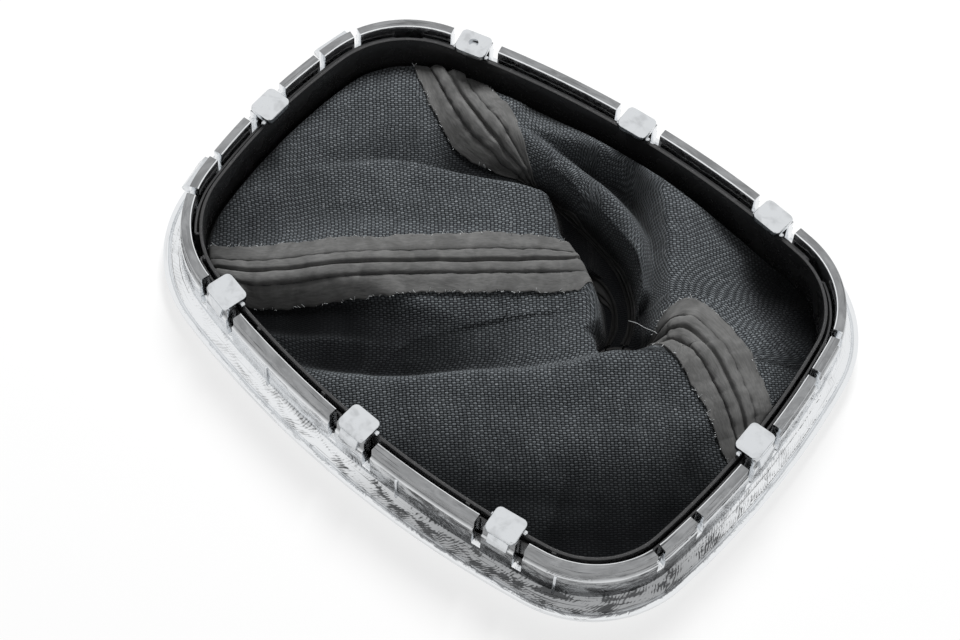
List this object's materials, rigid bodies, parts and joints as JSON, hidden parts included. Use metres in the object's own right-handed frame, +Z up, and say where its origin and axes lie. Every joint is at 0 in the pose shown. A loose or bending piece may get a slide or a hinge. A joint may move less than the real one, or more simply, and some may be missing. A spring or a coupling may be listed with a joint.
{
  "type": "gear lever gaiter with trim frame",
  "caption": "Sewn gear lever gaiter clamped by a retaining ring in a bright plated clip-in trim frame, lying face down with its snap clips up.",
  "frame": {"origin": "on the surface the show face rests on, under the middle of the trim frame", "axes": "+Z up through the clips, +X along the frame towards the blunt end with the narrow slots, +Y across it"},
  "size_m": [0.1572, 0.1208, 0.019],
  "materials": {
    "plated_trim": "bright plated plastic",
    "black_plastic": "gloss black moulding",
    "woven_backing": "charcoal woven backing",
    "leatherette": "fine-grained dark leatherette"
  },
  "bodies": {
    "root": {"trim_frame": "plated_trim", "retaining_ring": "black_plastic", "front_panel": "woven_backing", "back_panel": "woven_backing", "end_panel": "woven_backing", "neck_band": "leatherette"}
  },
  "joints": []
}
